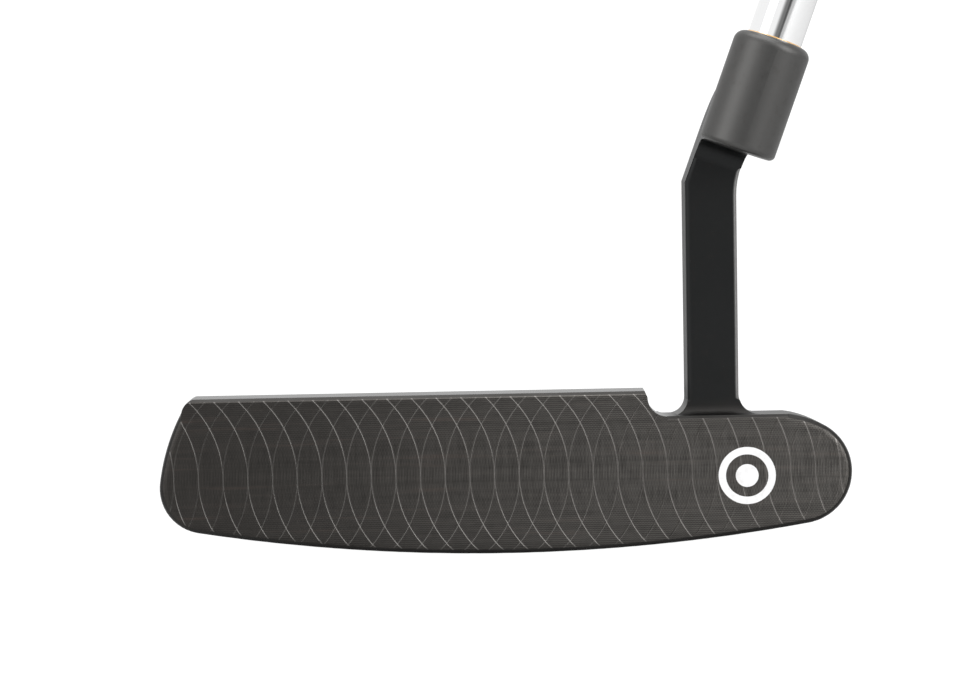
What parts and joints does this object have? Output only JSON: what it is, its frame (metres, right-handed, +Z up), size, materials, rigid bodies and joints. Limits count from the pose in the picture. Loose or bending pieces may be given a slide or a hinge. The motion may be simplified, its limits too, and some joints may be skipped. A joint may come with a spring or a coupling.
{
  "type": "blade putter",
  "caption": "Right-handed blade putter with a milled head, a plumber's neck, a stepped steel shaft, a pistol grip and an exchangeable sole plate.",
  "frame": {"origin": "the point where the sole touches the ground, under the middle of the head's length", "axes": "+Z up, the face looks to -Y, toe at -X, heel and golfer at +X"},
  "size_m": [0.39, 0.043, 0.8145],
  "materials": {
    "head_steel": "dark tinted milled stainless steel, satin",
    "mark_paint": "white enamel",
    "sight_paint": "white enamel",
    "plate_steel": "dark tinted stainless steel, brushed",
    "screw_steel": "black oxide steel",
    "epoxy": "amber epoxy",
    "shaft_chrome": "bright chrome plate",
    "plug_plastic": "moulded",
    "band_vinyl": "gloss vinyl",
    "tape_paper": "crepe paper",
    "grip_rubber": "moulded matt rubber",
    "cap_rubber": "moulded matt rubber"
  },
  "bodies": {
    "club": {"head": "head_steel", "face_mark_fill": "mark_paint", "sight_line_fill": "sight_paint", "hosel_epoxy": "epoxy", "shaft": "shaft_chrome", "shaft_tip_plug": "plug_plastic", "shaft_band": "band_vinyl", "grip_tape": "tape_paper", "grip": "grip_rubber", "grip_cap": "cap_rubber"},
    "sole_plate": {"sole_plate": "plate_steel"},
    "sole_screw_toe": {"sole_screw_toe": "screw_steel"},
    "sole_screw_heel": {"sole_screw_heel": "screw_steel"}
  },
  "joints": [
    {"name": "sole_plate_slide", "type": "slide", "parent": "club", "child": "sole_plate", "axis": [0, 0, -1], "range_m": [0, 0.02]},
    {"name": "toe_screw_slide", "type": "slide", "parent": "sole_plate", "child": "sole_screw_toe", "axis": [0, 0, -1], "range_m": [0, 0.012]},
    {"name": "heel_screw_slide", "type": "slide", "parent": "sole_plate", "child": "sole_screw_heel", "axis": [0, 0, -1], "range_m": [0, 0.012]}
  ]
}
